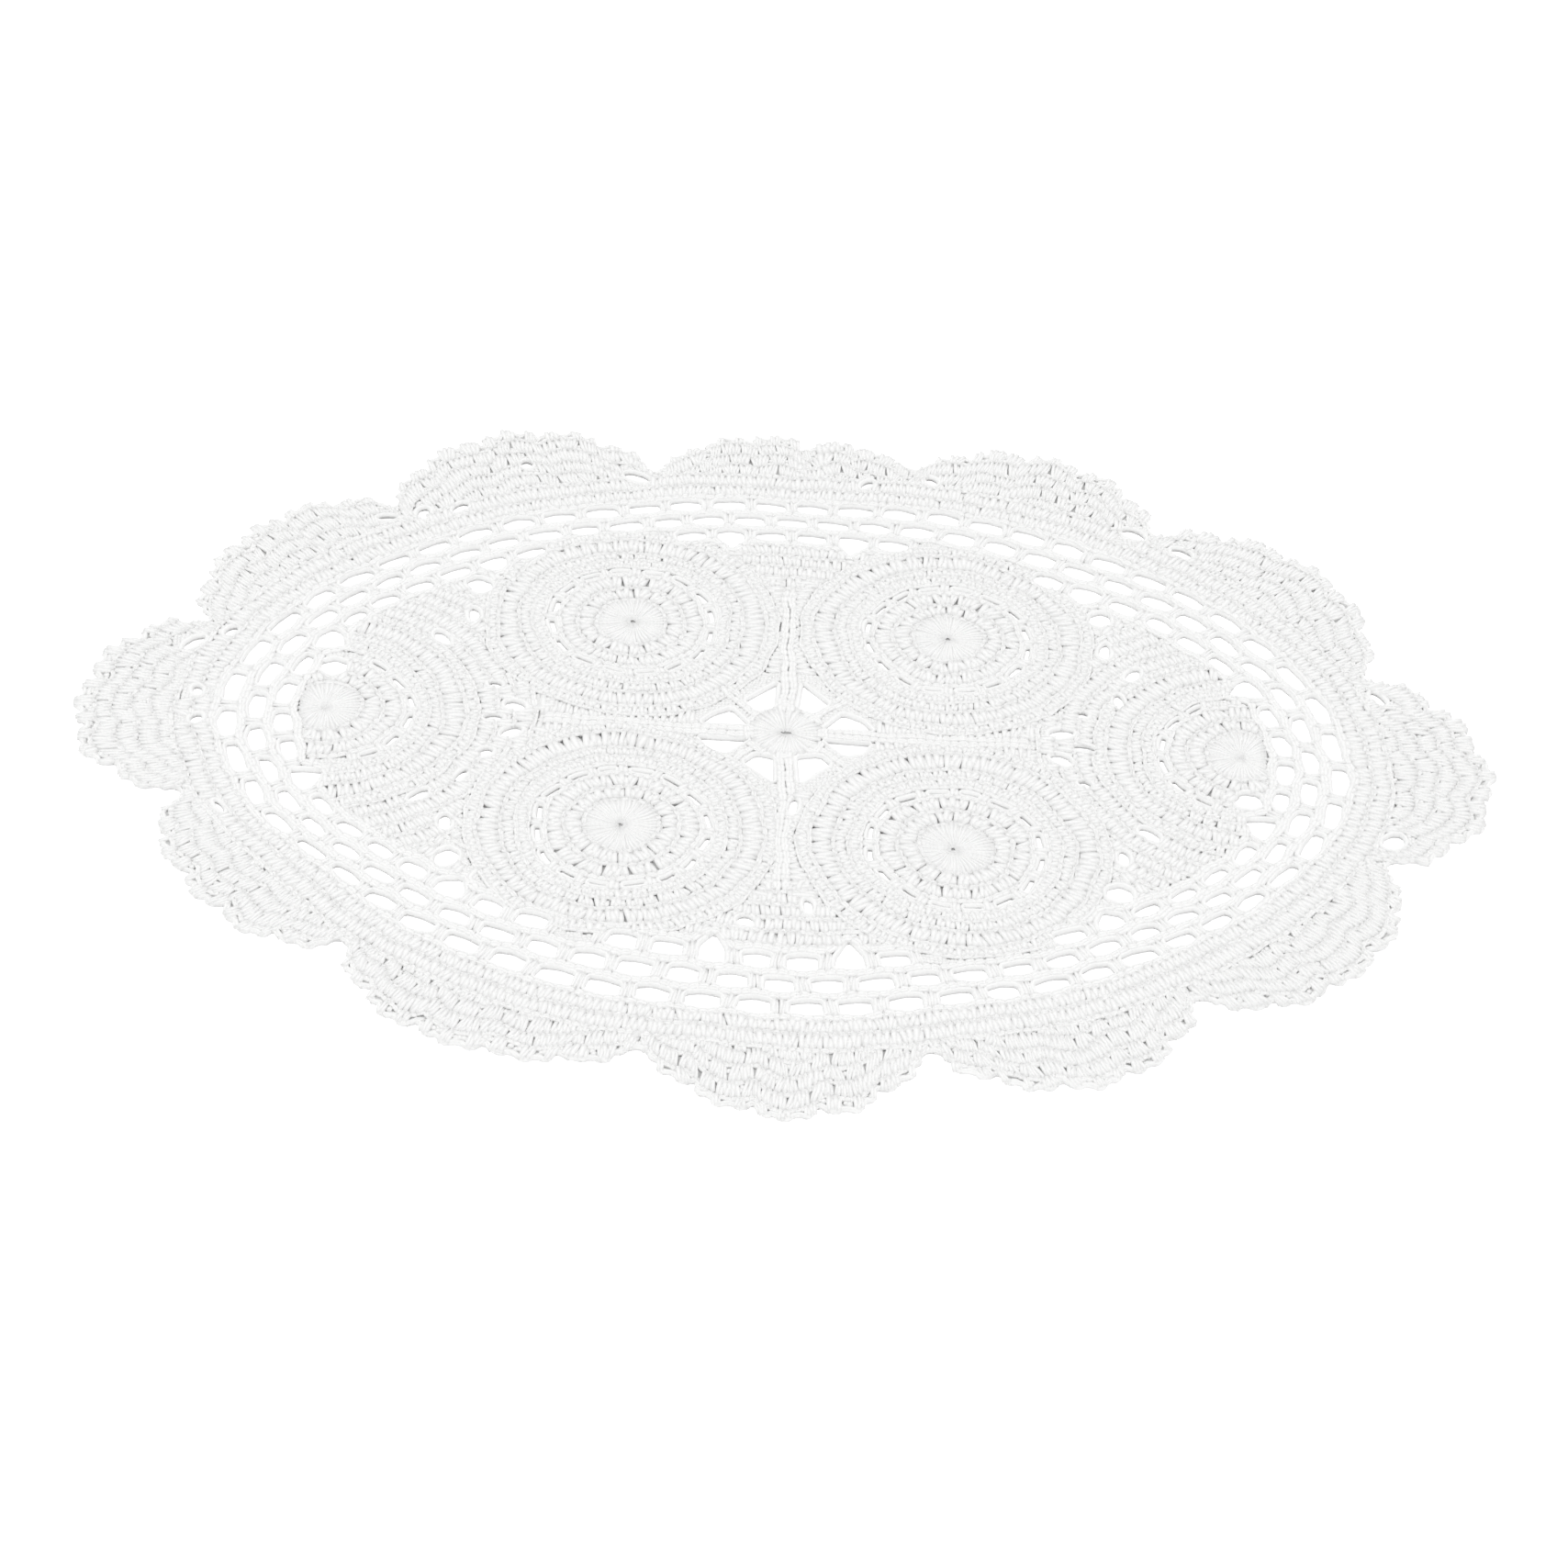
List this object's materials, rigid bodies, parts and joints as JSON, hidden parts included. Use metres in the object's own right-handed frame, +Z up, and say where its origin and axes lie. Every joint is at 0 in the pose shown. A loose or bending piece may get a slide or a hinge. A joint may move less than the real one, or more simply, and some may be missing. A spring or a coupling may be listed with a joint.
{
  "type": "crochet lace doily",
  "caption": "Oval crochet lace doily with round rosettes, an open net and a scalloped border, lying flat, to protect or dress a table top.",
  "frame": {"origin": "on the surface that the doily lies on, under the middle of its box", "axes": "+X along its length, +Y across it, +Z up out of its face"},
  "size_m": [0.4024, 0.2948, 0.005],
  "materials": {
    "doily": "matt white cotton thread"
  },
  "bodies": {
    "root": {"doily": "doily"}
  },
  "joints": []
}
